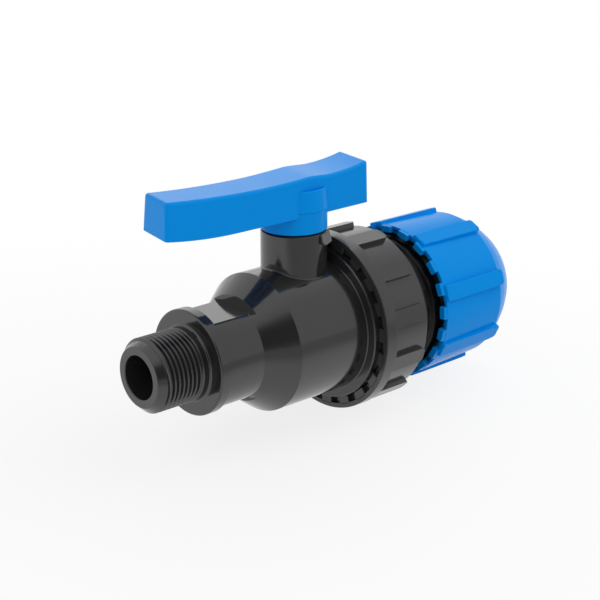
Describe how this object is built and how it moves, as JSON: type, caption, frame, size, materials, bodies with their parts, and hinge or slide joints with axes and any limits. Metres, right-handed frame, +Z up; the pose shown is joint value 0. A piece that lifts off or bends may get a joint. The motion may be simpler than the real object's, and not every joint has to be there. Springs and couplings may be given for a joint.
{
  "type": "compression ball valve",
  "caption": "Plastic inline ball valve with a lever handle, a male pipe thread at one end and a union nut and compression socket for plastic pipe at the other.",
  "frame": {"origin": "on the flow axis, at the collar's front face, where the threaded spigot starts", "axes": "+X along the flow axis from the threaded spigot to the pipe socket, +Z up along the stem"},
  "size_m": [0.1676, 0.068, 0.095],
  "materials": {
    "body_plastic": "satin moulded dark grey plastic",
    "nut_plastic": "satin moulded mid grey plastic",
    "black_plastic": "satin moulded black plastic",
    "blue_plastic": "smooth moulded blue plastic",
    "ball_plastic": "polished dark grey plastic",
    "seat_plastic": "smooth white low-friction plastic",
    "grip_plastic": "natural white acetal",
    "seal_rubber": "smooth black rubber"
  },
  "bodies": {
    "valve_body": {"body": "body_plastic", "seat_inlet": "seat_plastic", "seat_outlet": "seat_plastic", "seat_inlet_oring": "seal_rubber", "seat_outlet_oring": "seal_rubber", "seat_carrier": "body_plastic", "carrier_oring": "seal_rubber"},
    "handle_and_ball": {"handle": "blue_plastic", "stem": "body_plastic", "stem_washer": "seat_plastic", "stem_oring_lower": "seal_rubber", "stem_oring_upper": "seal_rubber", "ball": "ball_plastic"},
    "connector": {"end_connector": "black_plastic", "connector_oring": "seal_rubber", "pipe_seal": "seal_rubber", "thrust_ring": "black_plastic"},
    "union_ring": {"union_nut": "nut_plastic"},
    "grip": {"grip_ring": "grip_plastic"},
    "pipe_nut": {"compression_nut": "blue_plastic"}
  },
  "joints": [
    {"name": "handle_turn", "type": "hinge", "parent": "valve_body", "child": "handle_and_ball", "pos_m": [0.0501, 0, 0], "axis": [0, 0, -1], "range_deg": [0, 90]},
    {"name": "connector_slide", "type": "slide", "parent": "valve_body", "child": "connector", "axis": [1, 0, 0], "range_m": [0, 0.015]},
    {"name": "union_nut_turn", "type": "hinge", "parent": "connector", "child": "union_ring", "pos_m": [0.07, 0, 0], "axis": [1, 0, 0], "range_deg": [0, 1351]},
    {"name": "grip_slide", "type": "slide", "parent": "connector", "child": "grip", "axis": [1, 0, 0], "range_m": [0, 0.021]},
    {"name": "compression_nut_turn", "type": "hinge", "parent": "grip", "child": "pipe_nut", "pos_m": [0.12, 0, 0], "axis": [1, 0, 0], "range_deg": [0, 1261]}
  ],
  "couplings": [
    {"joint": "union_nut_turn", "follows": "connector_slide", "rad_per_m": 1570.8},
    {"joint": "compression_nut_turn", "follows": "grip_slide", "rad_per_m": 1047.2}
  ]
}
